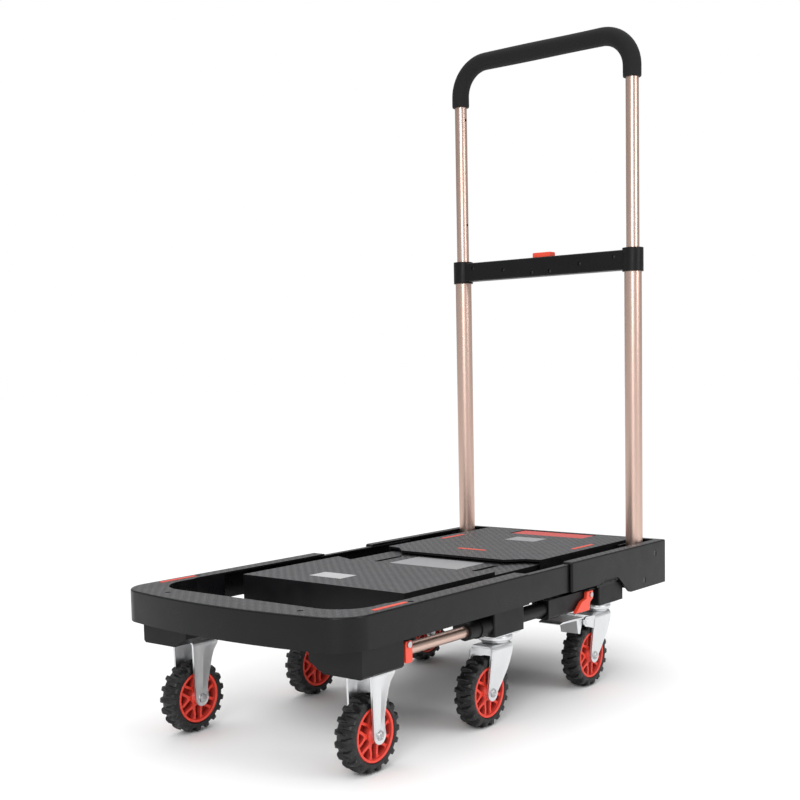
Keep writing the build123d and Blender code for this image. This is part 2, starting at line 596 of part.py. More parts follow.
# =====================================================================================
# Casters
# =====================================================================================
KINGPIN_RADIUS = 6.0
FORK_TOP = 114.0
CUP_BOTTOM = 118.5
CUP_RADIUS = 25.0
NECK_RADIUS = 20.0
RIVET_BOTTOM = 105.0


def swivel_plates(name, kingpin):
    """Top plates with bearing cups and riveted kingpins, one each side."""
    with BuildPart() as plates:
        for side in (-WHEEL_TRACK, WHEEL_TRACK):
            block(kingpin - 27, kingpin + 42, side - 28, side + 28, BLOCK_BOTTOM - 3, BLOCK_BOTTOM)
            post(kingpin, side, CUP_BOTTOM, BLOCK_BOTTOM - 3, CUP_RADIUS)
            post(kingpin, side, FORK_TOP + 0.4, CUP_BOTTOM, NECK_RADIUS)
            post(kingpin, side, RIVET_BOTTOM, FORK_TOP + 1, KINGPIN_RADIUS)
            post(kingpin, side, RIVET_BOTTOM, FORK_TOP - FORK_PLATE - 0.4, 9.0)
    save(plates, name)


swivel_plates("rear_swivel_plates", REAR_KINGPIN)
swivel_plates("middle_swivel_plates", MIDDLE_KINGPIN)

PEDAL_ARM = 58.0
PEDAL_HEIGHT = 107.0
EAR_RADIUS = 8.0


def swivel_fork(name, kingpin, side, has_brake):
    """Bent steel fork under a kingpin; its legs lean back to the trailing axle."""
    with BuildPart() as fork:
        for leg in (side + SWIVEL_GAP, side - SWIVEL_GAP - FORK_PLATE):
            with BuildSketch(lengthwise(leg)):
                with BuildLine():
                    leg_shape = [(-17, FORK_TOP), (35, FORK_TOP), (TRAIL + 11, 54)]
                    leg_shape += [(TRAIL - 9, 43), (3, 62), (-13, 84)]
                    Polyline([(station(kingpin + x), z) for x, z in leg_shape], close=True)
                make_face()
                with Locations((station(kingpin + TRAIL), WHEEL_RADIUS)):
                    Circle(11.5)
                if has_brake:
                    with Locations((station(kingpin + PEDAL_ARM), PEDAL_HEIGHT)):
                        Circle(EAR_RADIUS)
                    with BuildLine():
                        ear = [(33, FORK_TOP), (PEDAL_ARM, PEDAL_HEIGHT + EAR_RADIUS)]
                        ear += [(PEDAL_ARM, PEDAL_HEIGHT - EAR_RADIUS), (38, 92)]
                        Polyline([(station(kingpin + x), z) for x, z in ear], close=True)
                    make_face()
            extrude(amount=-FORK_PLATE)
        block(kingpin - 17, kingpin + 35, side - SWIVEL_GAP - 1, side + SWIVEL_GAP + 1,
              FORK_TOP - FORK_PLATE, FORK_TOP)
        if has_brake:
            cross_pin(kingpin + PEDAL_ARM, PEDAL_HEIGHT, side - 18, side + 18, 3.0)
        post(kingpin, side, 100, 130, KINGPIN_RADIUS + RUNNING, Mode.SUBTRACT)
        cross_pin(kingpin + TRAIL, WHEEL_RADIUS, side - 30, side + 30, 4.0, Mode.SUBTRACT)
    save(fork, name)


HEAD_HEIGHT = 3.5


def axle(name, sites, gap):
    """Axle bolts with a hexagon head on the outside and a nut on the inside."""
    with BuildPart() as bolt:
        for distance, side in sites:
            outer = gap + FORK_PLATE
            cross_pin(distance, WHEEL_RADIUS, side - outer, side + outer, 4.0)
            for seat in (side + outer + HEAD_HEIGHT, side - outer):
                with BuildSketch(lengthwise(seat)):
                    with Locations((station(distance), WHEEL_RADIUS)):
                        RegularPolygon(6.8, 6)
                extrude(amount=HEAD_HEIGHT)
    save(bolt, name)


with BuildPart() as front_forks:
    for leg in (WHEEL_TRACK + FRONT_GAP, WHEEL_TRACK - FRONT_GAP - FORK_PLATE):
        with BuildSketch(lengthwise(leg)):
            with BuildLine():
                front_leg = [(-36, BLOCK_BOTTOM), (14, BLOCK_BOTTOM), (12, 52)]
                front_leg += [(-11, 46), (-15, 60)]
                Polyline([(station(FRONT_AXLE + x), z) for x, z in front_leg], close=True)
            make_face()
            with Locations((station(FRONT_AXLE), WHEEL_RADIUS)):
                Circle(11.5)
        extrude(amount=-FORK_PLATE)
    block(FRONT_AXLE - 36, FRONT_AXLE + 14, WHEEL_TRACK - FRONT_GAP - 1, WHEEL_TRACK + FRONT_GAP + 1,
          BLOCK_BOTTOM - FORK_PLATE, BLOCK_BOTTOM)
    cross_pin(FRONT_AXLE, WHEEL_RADIUS, 120, 200, 4.0, Mode.SUBTRACT)
    mirror(about=Plane.XZ)
save(front_forks, "front_forks")
axle("front_axles", ((FRONT_AXLE, WHEEL_TRACK), (FRONT_AXLE, -WHEEL_TRACK)), FRONT_GAP)


def wheel(name, distance, side, boss):
    """Rubber tyre and plastic hub with six holes in its web, each its own piece."""
    turning_plane = Plane((station(distance), side, WHEEL_RADIUS), x_dir=(0, 1, 0), z_dir=(1, 0, 0))
    spin_axis = Axis((station(distance), side, WHEEL_RADIUS), (0, 1, 0))
    half = TYRE_WIDTH / 2
    with BuildPart() as tyre:
        with BuildSketch(turning_plane):
            with BuildLine():
                section = [(-half + 1.5, HUB_RADIUS), (-half, HUB_RADIUS + 2), (-half, 45)]
                section += [(-half + 4, WHEEL_RADIUS), (half - 4, WHEEL_RADIUS), (half, 45)]
                section += [(half, HUB_RADIUS + 2), (half - 1.5, HUB_RADIUS)]
                Polyline(section, close=True)
            make_face()
        revolve(axis=spin_axis)
    save(tyre, f"tyre_{name}")
    with BuildPart() as hub:
        with BuildSketch(turning_plane):
            with BuildLine():
                rim = [(-14, HUB_RADIUS), (-14, 31), (-6, 29.5), (-6, 13), (-boss, 11)]
                rim += [(-boss, 4.0 + RUNNING)]
                rim += [(-x, r) for x, r in reversed(rim)]
                Polyline(rim, close=True)
            make_face()
        revolve(axis=spin_axis)
        with BuildSketch(lengthwise(side + 10)):
            with Locations((station(distance), WHEEL_RADIUS)):
                with PolarLocations(21.0, 6):
                    Circle(4.5)
        extrude(amount=20, mode=Mode.SUBTRACT)
    save(hub, f"hub_{name}")


for end, kingpin, has_brake in (("rear", REAR_KINGPIN, True), ("middle", MIDDLE_KINGPIN, False)):
    for hand, side in (("left", WHEEL_TRACK), ("right", -WHEEL_TRACK)):
        swivel_fork(f"{end}_fork_{hand}", kingpin, side, has_brake)
        axle(f"{end}_axle_{hand}", ((kingpin + TRAIL, side),), SWIVEL_GAP)
        wheel(f"{end}_{hand}", kingpin + TRAIL, side, SWIVEL_GAP - 0.4)
for hand, side in (("left", WHEEL_TRACK), ("right", -WHEEL_TRACK)):
    wheel(f"front_{hand}", FRONT_AXLE, side, FRONT_GAP - 0.4)


def brake_pedal(name, side):
    """Foot lever with a shoe that presses on the tyre, pivoted between the ears of a rear fork."""
    pivot = REAR_KINGPIN + PEDAL_ARM
    inner = SWIVEL_GAP - 0.5
    with BuildPart() as pedal:
        with BuildSketch(lengthwise(side - inner)):
            with BuildLine():
                profile = [(-5, 109), (0, 113), (12, 115.5), (72, 118), (78, 116.5), (76, 113.5)]
                profile += [(22, 112), (20, 90), (14, 89), (8, 104), (0, 101.5)]
                Polyline([(station(pivot + x), z) for x, z in profile], close=True)
            make_face()
        extrude(amount=-2 * inner)
        block(pivot + 10, pivot + 76, side - 19.5, side + 19.5, 113.5, 115.5)
        cross_pin(pivot, PEDAL_HEIGHT, side - inner, side + inner, 5.5)
        cross_pin(pivot, PEDAL_HEIGHT, side - 20, side + 20, 3.0 + RUNNING, Mode.SUBTRACT)
    save(pedal, name)


brake_pedal("brake_pedal_left", WHEEL_TRACK)
brake_pedal("brake_pedal_right", -WHEEL_TRACK)
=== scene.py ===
import math

import bmesh
import bpy
from mathutils import Matrix, Vector


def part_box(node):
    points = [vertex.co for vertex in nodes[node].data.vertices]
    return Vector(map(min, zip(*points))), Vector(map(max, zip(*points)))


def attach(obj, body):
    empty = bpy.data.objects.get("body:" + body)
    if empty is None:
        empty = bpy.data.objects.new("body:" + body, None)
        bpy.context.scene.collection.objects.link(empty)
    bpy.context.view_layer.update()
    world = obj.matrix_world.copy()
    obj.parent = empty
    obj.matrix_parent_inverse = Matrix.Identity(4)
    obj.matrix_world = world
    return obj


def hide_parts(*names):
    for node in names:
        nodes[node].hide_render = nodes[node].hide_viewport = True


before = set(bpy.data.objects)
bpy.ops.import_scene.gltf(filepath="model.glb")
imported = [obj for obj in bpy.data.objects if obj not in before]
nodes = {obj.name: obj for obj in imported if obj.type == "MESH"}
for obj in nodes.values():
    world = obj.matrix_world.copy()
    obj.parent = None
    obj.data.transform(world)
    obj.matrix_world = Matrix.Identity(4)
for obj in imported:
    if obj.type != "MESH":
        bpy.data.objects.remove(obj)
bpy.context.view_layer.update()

MM = 0.001
ENDS = ("rear", "middle", "front")
HANDS = ("left", "right")
SWIVEL_ENDS = ("rear", "middle")


# ---- places taken from the CAD frame --------------------------------------------------
def centre(node):
    """Middle of a CAD node's box."""
    low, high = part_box(node)
    return (low + high) / 2


WHEEL_AT = {f"{end}_{hand}": centre(f"tyre_{end}_{hand}") for end in ENDS for hand in HANDS}
TYRE_LOW, TYRE_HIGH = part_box("tyre_front_left")
TYRE_RADIUS = (TYRE_HIGH.z - TYRE_LOW.z) / 2
TYRE_HALF = (TYRE_HIGH.y - TYRE_LOW.y) / 2
HUB_LOW, HUB_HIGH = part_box("hub_front_left")
HUB_RADIUS = (HUB_HIGH.z - HUB_LOW.z) / 2


# =====================================================================================
# Mesh helpers
# =====================================================================================
def new_object(name, vertices, faces, smooth=True):
    """Mesh object from plain lists, with its normals pointing outwards."""
    mesh = bpy.data.meshes.new(name)
    mesh.from_pydata([tuple(v) for v in vertices], [], faces)
    work = bmesh.new()
    work.from_mesh(mesh)
    bmesh.ops.remove_doubles(work, verts=work.verts, dist=1e-7)
    bmesh.ops.recalc_face_normals(work, faces=work.faces)
    work.to_mesh(mesh)
    work.free()
    if smooth:
        mesh.polygons.foreach_set("use_smooth", [True] * len(mesh.polygons))
    piece = bpy.data.objects.new(name, mesh)
    bpy.context.scene.collection.objects.link(piece)
    return piece


def apply_modifiers(piece):
    """Bakes every modifier of a new piece into its mesh."""
    shown = piece.evaluated_get(bpy.context.evaluated_depsgraph_get())
    mesh = bpy.data.meshes.new_from_object(shown)
    old = piece.data
    piece.modifiers.clear()
    piece.data = mesh
    bpy.data.meshes.remove(old)
    return piece


def soften(piece, width, segments=2, angle=32.0, bake=True):
    """Rounds the sharp edges of a piece and evens its shading."""
    bevel = piece.modifiers.new("round", "BEVEL")
    bevel.width = width
    bevel.segments = segments
    bevel.limit_method = "ANGLE"
    bevel.angle_limit = math.radians(angle)
    bevel.use_clamp_overlap = True
    bevel.harden_normals = False
    normals = piece.modifiers.new("even_shading", "WEIGHTED_NORMAL")
    normals.keep_sharp = True
    if bake:
        apply_modifiers(piece)
    return piece


def soften_cad(name, width):
    """Rounds a CAD node's sharp edges with modifiers, which leave its own mesh as it is."""
    piece = nodes[name]
    piece.data.polygons.foreach_set("use_smooth", [True] * len(piece.data.polygons))
    weld = piece.modifiers.new("weld", "WELD")
    weld.merge_threshold = 1e-6
    soften(piece, width, bake=False)


def extruded(name, outline, place, depth, smooth=True):
    """Prism on a closed outline: place(u, v, w) puts outline point (u, v) at depth w."""
    count = len(outline)
    vertices = [place(u, v, 0.0) for u, v in outline]
    vertices += [place(u, v, depth) for u, v in outline]
    faces = [list(range(count)), list(range(count, 2 * count))]
    faces += [[i, (i + 1) % count, count + (i + 1) % count, count + i] for i in range(count)]
    return new_object(name, vertices, faces, smooth)


def side_plate(name, outline, x0, z0, start, thickness):
    """Plate parallel to the wheels, from y = start on; its outline is in mm from (x0, z0)."""
    def put(u, v, w):
        return Vector((x0 + u * MM, start + w, z0 + v * MM))

    return extruded(name, outline, put, thickness)


def grid_faces(rows, columns, close_rows=False, close_columns=False):
    """Quads of a grid of vertices stored row by row."""
    faces = []
    for i in range(rows if close_rows else rows - 1):
        for j in range(columns if close_columns else columns - 1):
            a = i * columns + j
            b = i * columns + (j + 1) % columns
            c = ((i + 1) % rows) * columns + (j + 1) % columns
            d = ((i + 1) % rows) * columns + j
            faces.append([a, b, c, d])
    return faces


def lathe(name, profile, at, axis="Y", steps=48, closed=False):
    """Turned solid about Y or Z: profile points are (along the axis, radius), end to end."""
    vertices = []
    for i in range(steps):
        turn = 2 * math.pi * i / steps
        for along, radius in profile:
            a, b = radius * math.cos(turn), radius * math.sin(turn)
            offset = (a, along, b) if axis == "Y" else (a, b, along)
            vertices.append(Vector(at) + Vector(offset))
    columns = len(profile)
    faces = grid_faces(steps, columns, close_rows=True, close_columns=closed)
    if not closed:
        faces.append([i * columns for i in range(steps)])
        faces.append([i * columns + columns - 1 for i in range(steps)])
    return new_object(name, vertices, faces)


def joined(name, pieces):
    """One object made of several."""
    work = bmesh.new()
    for piece in pieces:
        piece.data.transform(piece.matrix_world)
        work.from_mesh(piece.data)
    mesh = bpy.data.meshes.new(name)
    work.to_mesh(mesh)
    work.free()
    for piece in pieces:
        old = piece.data
        bpy.data.objects.remove(piece)
        bpy.data.meshes.remove(old)
    result = bpy.data.objects.new(name, mesh)
    bpy.context.scene.collection.objects.link(result)
    return result


def copy_moved(piece, name, shift, mirror_y=False):
    """A separate copy of a piece with its own mesh, moved or mirrored across y = 0 and moved."""
    twin = piece.copy()
    twin.data = piece.data.copy()
    twin.name = name
    bpy.context.scene.collection.objects.link(twin)
    matrix = Matrix.Translation(shift)
    if mirror_y:
        matrix = matrix @ Matrix.Scale(-1, 4, (0, 1, 0))
    twin.data.transform(matrix)
    if mirror_y:
        twin.data.flip_normals()
    return twin


def sharpen(piece, angle=35.0):
    """Smooth shading that keeps edges sharper than an angle."""
    piece.data.polygons.foreach_set("use_smooth", [True] * len(piece.data.polygons))
    piece.data.set_sharp_from_angle(angle=math.radians(angle))
    return piece


def place_piece(piece, material, body, slot, *replaced):
    """Gives a piece its material and its body, and hides the CAD nodes that it stands for; the slot
    argument is not used.
    """
    piece.data.materials.clear()
    piece.data.materials.append(material)
    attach(piece, body)
    if replaced:
        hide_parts(*replaced)
    return piece


def smoothstep(low, high, value):
    """0 below low, 1 above high, and a smooth ramp between."""
    t = min(1.0, max(0.0, (value - low) / (high - low)))
    return t * t * (3 - 2 * t)


# =====================================================================================
# Materials
# =====================================================================================
class Shader:
    """A small builder for procedural materials."""

    def __init__(self, name, roughness=0.5, metallic=0.0, specular=0.5):
        self.material = bpy.data.materials.new(name)
        self.material.use_nodes = True
        self.tree = self.material.node_tree
        self.surface = self.tree.nodes["Principled BSDF"]
        self.surface.inputs["Roughness"].default_value = roughness
        self.surface.inputs["Metallic"].default_value = metallic
        self.surface.inputs["Specular IOR Level"].default_value = specular
        self.place = self.add("ShaderNodeTexCoord").outputs["Object"]
        self.height = None

    def add(self, kind, **settings):
        node = self.tree.nodes.new(kind)
        for key, value in settings.items():
            setattr(node, key, value)
        return node

    def link(self, source, target):
        self.tree.links.new(source, target)

    def noise(self, scale, detail=3.0, roughness=0.55, stretch=(1, 1, 1)):
        """Noise in object space; scale is in features per metre."""
        mapping = self.add("ShaderNodeMapping")
        mapping.inputs["Scale"].default_value = stretch
        self.link(self.place, mapping.inputs["Vector"])
        node = self.add("ShaderNodeTexNoise")
        node.inputs["Scale"].default_value = scale
        node.inputs["Detail"].default_value = detail
        node.inputs["Roughness"].default_value = roughness
        self.link(mapping.outputs["Vector"], node.inputs["Vector"])
        return node.outputs["Fac"]

    def math(self, operation, first, second=None):
        """Math node on numbers or sockets."""
        node = self.add("ShaderNodeMath", operation=operation)
        for index, value in enumerate((first, second)):
            if value is None:
                continue
            if isinstance(value, (int, float)):
                node.inputs[index].default_value = value
            else:
                self.link(value, node.inputs[index])
        return node.outputs[0]

    def ramp(self, value, low, high, from_low=0.0, from_high=1.0):
        """Maps from_low..from_high to low..high."""
        node = self.add("ShaderNodeMapRange")
        node.inputs["From Min"].default_value = from_low
        node.inputs["From Max"].default_value = from_high
        node.inputs["To Min"].default_value = low
        node.inputs["To Max"].default_value = high
        self.link(value, node.inputs["Value"])
        return node.outputs["Result"]

    def blend(self, factor, first, second):
        """Colour between two; each may be a colour or another socket."""
        node = self.add("ShaderNodeMix", data_type="RGBA")
        self.link(factor, node.inputs[0])
        for index, value in ((6, first), (7, second)):
            if isinstance(value, tuple):
                node.inputs[index].default_value = (*value, 1.0)
            else:
                self.link(value, node.inputs[index])
        return node.outputs[2]

    def colour(self, value):
        self.link(value, self.surface.inputs["Base Color"])

    def rough(self, value):
        self.link(value, self.surface.inputs["Roughness"])

    def bump(self, value, distance, strength=1.0):
        """Stacks a bump of this height in metres on the ones before it."""
        node = self.add("ShaderNodeBump")
        node.inputs["Strength"].default_value = strength
        node.inputs["Distance"].default_value = distance
        self.link(value, node.inputs["Height"])
        if self.height is not None:
            self.link(self.height, node.inputs["Normal"])
        self.height = node.outputs["Normal"]
        self.link(self.height, self.surface.inputs["Normal"])

    def split(self):
        """X, Y and Z of the object-space position."""
        node = self.add("ShaderNodeSeparateXYZ")
        self.link(self.place, node.inputs["Vector"])
        return node.outputs

    def facing_up(self):
        """1 on faces that look up, 0 on walls."""
        geometry = self.add("ShaderNodeNewGeometry")
        node = self.add("ShaderNodeSeparateXYZ")
        self.link(geometry.outputs["True Normal"], node.inputs["Vector"])
        return self.ramp(node.outputs["Z"], 0.0, 1.0, 0.85, 0.97)


WEAVE_PITCH = 7.2 * MM


def weave_height(shader):
    """Embossed basket weave: crowned cells that run along X and Y in turn."""
    axes = shader.split()
    across = [shader.math("DIVIDE", axes[i], WEAVE_PITCH) for i in (0, 1)]
    cell = [shader.math("FLOOR", value) for value in across]
    parity = shader.math("MODULO", shader.math("ABSOLUTE", shader.math("ADD", *cell)), 2.0)
    crowns = []
    for value in across:
        swing = shader.math("SUBTRACT", shader.math("FRACT", value), 0.5)
        crowns.append(shader.math("SUBTRACT", 1.0, shader.math("POWER",
                      shader.math("ABSOLUTE", shader.math("MULTIPLY", swing, 2.0)), 2.0)))
    first = shader.math("MULTIPLY", crowns[0], parity)
    second = shader.math("MULTIPLY", crowns[1], shader.math("SUBTRACT", 1.0, parity))
    return shader.math("ADD", first, second), parity


def moulded_plastic(name, dark, light, roughness, weave_sheen):
    """Black moulded plastic: fine spark grain on walls, embossed weave on top faces, which get a
    much lighter colour as painted sheen.
    """
    s = Shader(name, roughness, specular=0.22)
    broad = s.noise(9.0, 2.0)
    fine = s.noise(1900.0, 2.0, 0.6)
    up = s.facing_up()
    tone = s.blend(broad, dark, light)
    if weave_sheen:
        height, parity = weave_height(s)
        # painted sheen: up-facing faces get the far lighter weave colour, with alternate cells
        # darker, in place of the light the tops reflect
        sheen_weave_tone = s.blend(s.math("MULTIPLY", parity, 0.6), weave_sheen, tuple(c * 0.42 for c in weave_sheen))
        tone = s.blend(up, tone, sheen_weave_tone)
        s.bump(s.math("MULTIPLY", height, up), 0.9 * MM, 1.0)
    s.colour(tone)
    patches = s.noise(38.0, 4.0)
    wall_rough = s.ramp(patches, roughness - 0.05, roughness + 0.07, 0.3, 0.7)
    s.rough(s.math("ADD", wall_rough, s.math("MULTIPLY", up, 0.06)))
    s.bump(fine, 0.05 * MM, 0.5)
    return s.material


def glossy_plastic(name, base, worn, roughness):
    """Coloured moulded plastic with slight colour variation and flow marks."""
    s = Shader(name, roughness)
    s.colour(s.blend(s.noise(28.0, 3.0), base, worn))
    s.rough(s.ramp(s.noise(160.0, 4.0), roughness - 0.05, roughness + 0.1, 0.3, 0.7))
    s.bump(s.noise(900.0, 2.0), 0.04 * MM, 0.4)
    return s.material


def tyre_rubber():
    """Matt black rubber with faint lighter patches and a fine grain."""
    s = Shader("tyre_rubber", 0.45, specular=0.42)
    s.colour(s.blend(s.noise(60.0, 5.0), (0.003, 0.003, 0.0035), (0.008, 0.008, 0.0085)))
    s.rough(s.ramp(s.noise(240.0, 4.0), 0.36, 0.52, 0.3, 0.7))
    s.bump(s.noise(1300.0, 3.0), 0.12 * MM, 0.5)
    return s.material


def anodised():
    """Rose-gold anodised tube with fine drawing lines along it."""
    s = Shader("anodised_tube", 0.3, metallic=1.0)
    broad = s.noise(6.0, 2.0, stretch=(1, 1, 0.3))
    s.colour(s.blend(broad, (0.60, 0.43, 0.36), (0.66, 0.48, 0.41)))
    lines = s.noise(900.0, 2.0, 0.5, stretch=(1, 1, 0.02))
    s.rough(s.ramp(lines, 0.31, 0.37, 0.3, 0.7))
    s.bump(lines, 0.004 * MM, 0.1)
    return s.material


def foam():
    """Closed-cell foam: matt charcoal with fine open pores, painted darker in their pits as shade.
    """
    s = Shader("foam", 0.72, specular=0.22)
    pores = s.noise(1500.0, 4.0, 0.7)
    soft = s.noise(220.0, 3.0)
    # painted shade in the pores: the colour follows the pore bump, so its low spots are darker
    s.colour(s.blend(pores, (0.005, 0.005, 0.0055), (0.013, 0.013, 0.014)))
    s.bump(soft, 0.25 * MM, 0.35)
    s.bump(pores, 0.18 * MM, 0.6)
    return s.material


def zinc(name, base, shade, roughness):
    """Zinc-plated steel with soft mottling."""
    s = Shader(name, roughness, metallic=1.0)
    s.colour(s.blend(s.noise(30.0, 4.0, 0.6), base, shade))
    s.rough(s.ramp(s.noise(120.0, 4.0, 0.6), roughness - 0.03, roughness + 0.05, 0.3, 0.7))
    s.bump(s.noise(700.0, 3.0), 0.01 * MM, 0.2)
    return s.material


def plate(name, base, shade, roughness):
    """Plain printed plate or label with no marks, slightly uneven."""
    s = Shader(name, roughness)
    s.colour(s.blend(s.noise(45.0, 4.0), base, shade))
    s.rough(s.ramp(s.noise(300.0, 3.0), roughness - 0.06, roughness + 0.08, 0.3, 0.7))
    s.bump(s.noise(1200.0, 2.0), 0.03 * MM, 0.4)
    return s.material


def floor_material():
    """Pale seamless floor."""
    s = Shader("studio_floor", 0.6)
    s.colour(s.blend(s.noise(3.0, 2.0), (0.93, 0.93, 0.93), (0.95, 0.95, 0.95)))
    return s.material


BLACK = moulded_plastic("black_plastic", (0.0025, 0.0025, 0.003), (0.0045, 0.0045, 0.0052), 0.42,
                        None)
# for RAIL and DECK the last colour is the painted sheen of their top faces
RAIL = moulded_plastic("rail_plastic", (0.0022, 0.0022, 0.0028), (0.004, 0.004, 0.0048), 0.30,
                       (0.075, 0.075, 0.079))
DECK = moulded_plastic("deck_plastic", (0.003, 0.003, 0.0035), (0.005, 0.005, 0.006), 0.40,
                       (0.095, 0.095, 0.100))
RED = glossy_plastic("red_plastic", (0.82, 0.075, 0.035), (0.74, 0.06, 0.028), 0.32)
PEDAL_RED = glossy_plastic("pedal_red", (0.62, 0.06, 0.05), (0.55, 0.05, 0.04), 0.36)
# painted shade: a darker red for the hub's recessed web, standing in for the shade in the recess
HUB_PAINTED_SHADE = glossy_plastic("hub_web_painted_shade", (0.46, 0.03, 0.018), (0.38, 0.025, 0.015), 0.6)
HUB_RED = glossy_plastic("hub_plastic", (0.80, 0.055, 0.03), (0.70, 0.045, 0.025), 0.42)
RUBBER = tyre_rubber()
TUBE = anodised()
FOAM = foam()
STEEL = zinc("zinc_steel", (0.74, 0.75, 0.76), (0.69, 0.70, 0.71), 0.36)
BOLT = zinc("fastener_steel", (0.55, 0.55, 0.56), (0.42, 0.42, 0.43), 0.3)
DARK_BOLT = zinc("dark_fastener", (0.10, 0.10, 0.105), (0.06, 0.06, 0.065), 0.35)
GREY_PLATE = plate("grey_plate", (0.33, 0.33, 0.34), (0.28, 0.28, 0.29), 0.42)
WHITE_LABEL = plate("white_label", (0.50, 0.50, 0.51), (0.44, 0.44, 0.45), 0.45)
GLIDE = plate("glide_plastic", (0.45, 0.45, 0.45), (0.38, 0.38, 0.38), 0.5)


def paint(material, *names):
    """Puts a material on CAD nodes that keep their own shape."""
    for name in names:
        data = nodes[name].data
        data.materials.clear()
        data.materials.append(material)


# =====================================================================================
# CAD nodes that keep their shape
# =====================================================================================
def finish_cad_nodes():
    """Better materials and rounded edges on the CAD's own solids."""
    paint(RAIL, "rear_frame", "middle_frame", "front_frame")
    paint(DECK, "rear_deck_panel", "middle_deck_panel")
    paint(BLACK, "rear_caster_blocks", "middle_caster_blocks", "front_caster_blocks",
          "rear_guide_brackets", "crossbar_front_shell", "crossbar_rear_shell", "handle_knuckles")
    paint(RED, "rear_deck_strips", "front_frame_strips", "rear_lever_left", "rear_lever_right",
          "front_lever_left", "front_lever_right", "release_button")
    paint(PEDAL_RED, "handle_pedal")
    paint(TUBE, "lower_tubes", "upper_handle_tube", "guide_tubes")
    paint(GREY_PLATE, "rear_deck_plate", "middle_deck_plate")
    paint(WHITE_LABEL, "blank_label")
    paint(DARK_BOLT, "side_wall_screws", "front_frame_screws", "crossbar_screws")
    paint(BOLT, "rear_pivot_pins", "front_lever_pins")
    paint(GLIDE, "tube_glides")
    for name in ("rear_frame", "middle_frame", "front_frame"):
        soften_cad(name, 0.5 * MM)
    for name in ("rear_deck_panel", "middle_deck_panel"):
        soften_cad(name, 0.9 * MM)
    for name in ("rear_caster_blocks", "middle_caster_blocks", "front_caster_blocks",
                 "rear_guide_brackets", "rear_lever_left", "rear_lever_right",
                 "front_lever_left", "front_lever_right", "handle_pedal"):
        soften_cad(name, 1.0 * MM)
    for name in ("rear_deck_strips", "front_frame_strips"):
        soften_cad(name, 0.35 * MM)
    for name in ("release_button", "crossbar_front_shell", "crossbar_rear_shell"):
        soften_cad(name, 0.4 * MM)
    for name in ("lower_tubes", "upper_handle_tube", "guide_tubes", "side_wall_screws",
                 "front_frame_screws", "crossbar_screws", "rear_pivot_pins", "front_lever_pins"):
        soften_cad(name, 0.2 * MM)


# =====================================================================================
# Wheels
# =====================================================================================
LUGS = 18
LUG_STEPS = 20
LUG_DEPTH = 5.0 * MM
SIDE_LUG_DEPTH = 0.9 * MM
LUG_SLANT = 3.0     # radians of turn for each metre out from the middle
CROWN_DROP = 0.9 * MM
CROWN_REACH = 9.8
BEAD_STEP = 4.0 * MM
BEAD_LINE = HUB_RADIUS + 4.0 * MM     # where the tyre meets the rim, just above the hub


def tyre_profile():
    """Cross-section of the carcass as (across, radius), from the left bead to the right one."""
    half = TYRE_HALF - 1.0 * MM
    crown = TYRE_RADIUS - LUG_DEPTH
    bead = HUB_RADIUS + 0.1 * MM
    left = [(-half + 2.2 * MM, bead), (-half + 0.6 * MM, bead + 0.5 * MM), (-half, bead + 1.8 * MM)]
    left += [(-half, bead + 2.6 * MM), (-half + 0.1 * MM, bead + BEAD_STEP)]
    shoulder = crown - CROWN_DROP - bead - BEAD_STEP
    for i in range(1, 6):
        turn = math.radians(90) * i / 5
        left.append((-half + 5.2 * MM * (1 - math.cos(turn)),
                     bead + BEAD_STEP + shoulder * math.sin(turn)))
    for across in (-8.4, -6.6, -4.8, -3.4, -2.2, -1.1, 0.0):
        left.append((across * MM, crown - CROWN_DROP * (abs(across) / CROWN_REACH) ** 2))
    return left + [(-a, r) for a, r in reversed(left[:-1])]


def lug_height(step, across):
    """How far the tread stands out there, from 0 to 1."""
    height = 0.0
    for side in (-1, 1):
        phase = (step / LUG_STEPS + (0.5 if side > 0 else 0.0)) % 1.0
        reach = side * across / TYRE_HALF
        # lugs widen towards the shoulder; half and edge are parts of the lug pitch
        half = 0.05 + 0.20 * smoothstep(-0.1, 1.0, reach)
        edge = 0.05
        ridge = smoothstep(0.5 - half - edge, 0.5 - half + edge, phase)
        ridge *= 1 - smoothstep(0.5 + half - edge, 0.5 + half + edge, phase)
        height = max(height, ridge * smoothstep(-0.28, -0.08, reach))
    return height


def tyre_mesh(at):
    """Carcass and chevron lugs as one skin; the grid is slanted so that lug edges follow it."""
    profile = tyre_profile()
    count = len(profile)
    vertices = []
    for step in range(LUGS * LUG_STEPS):
        for index, (across, radius) in enumerate(profile):
            before = profile[max(0, index - 1)]
            after = profile[min(count - 1, index + 1)]
            along = Vector((after[0] - before[0], after[1] - before[1])).normalized()
            normal = Vector((-along.y, along.x))
            lift = lug_height(step, across) * smoothstep(BEAD_LINE, BEAD_LINE + 2.5 * MM, radius)
            on_tread = smoothstep(BEAD_LINE + 2.0 * MM, TYRE_RADIUS - LUG_DEPTH - 0.5 * MM, radius)
            depth = lift * (SIDE_LUG_DEPTH + (LUG_DEPTH - SIDE_LUG_DEPTH) * on_tread)
            a = across + normal.x * depth
            r = min(radius + normal.y * depth, TYRE_RADIUS)
            a = max(-TYRE_HALF, min(TYRE_HALF, a))
            turn = 2 * math.pi * step / (LUGS * LUG_STEPS) + LUG_SLANT * abs(across)
            vertices.append(at + Vector((r * math.cos(turn), a, r * math.sin(turn))))
    faces = grid_faces(LUGS * LUG_STEPS, count, close_rows=True, close_columns=True)
    return new_object("tyre", vertices, faces)


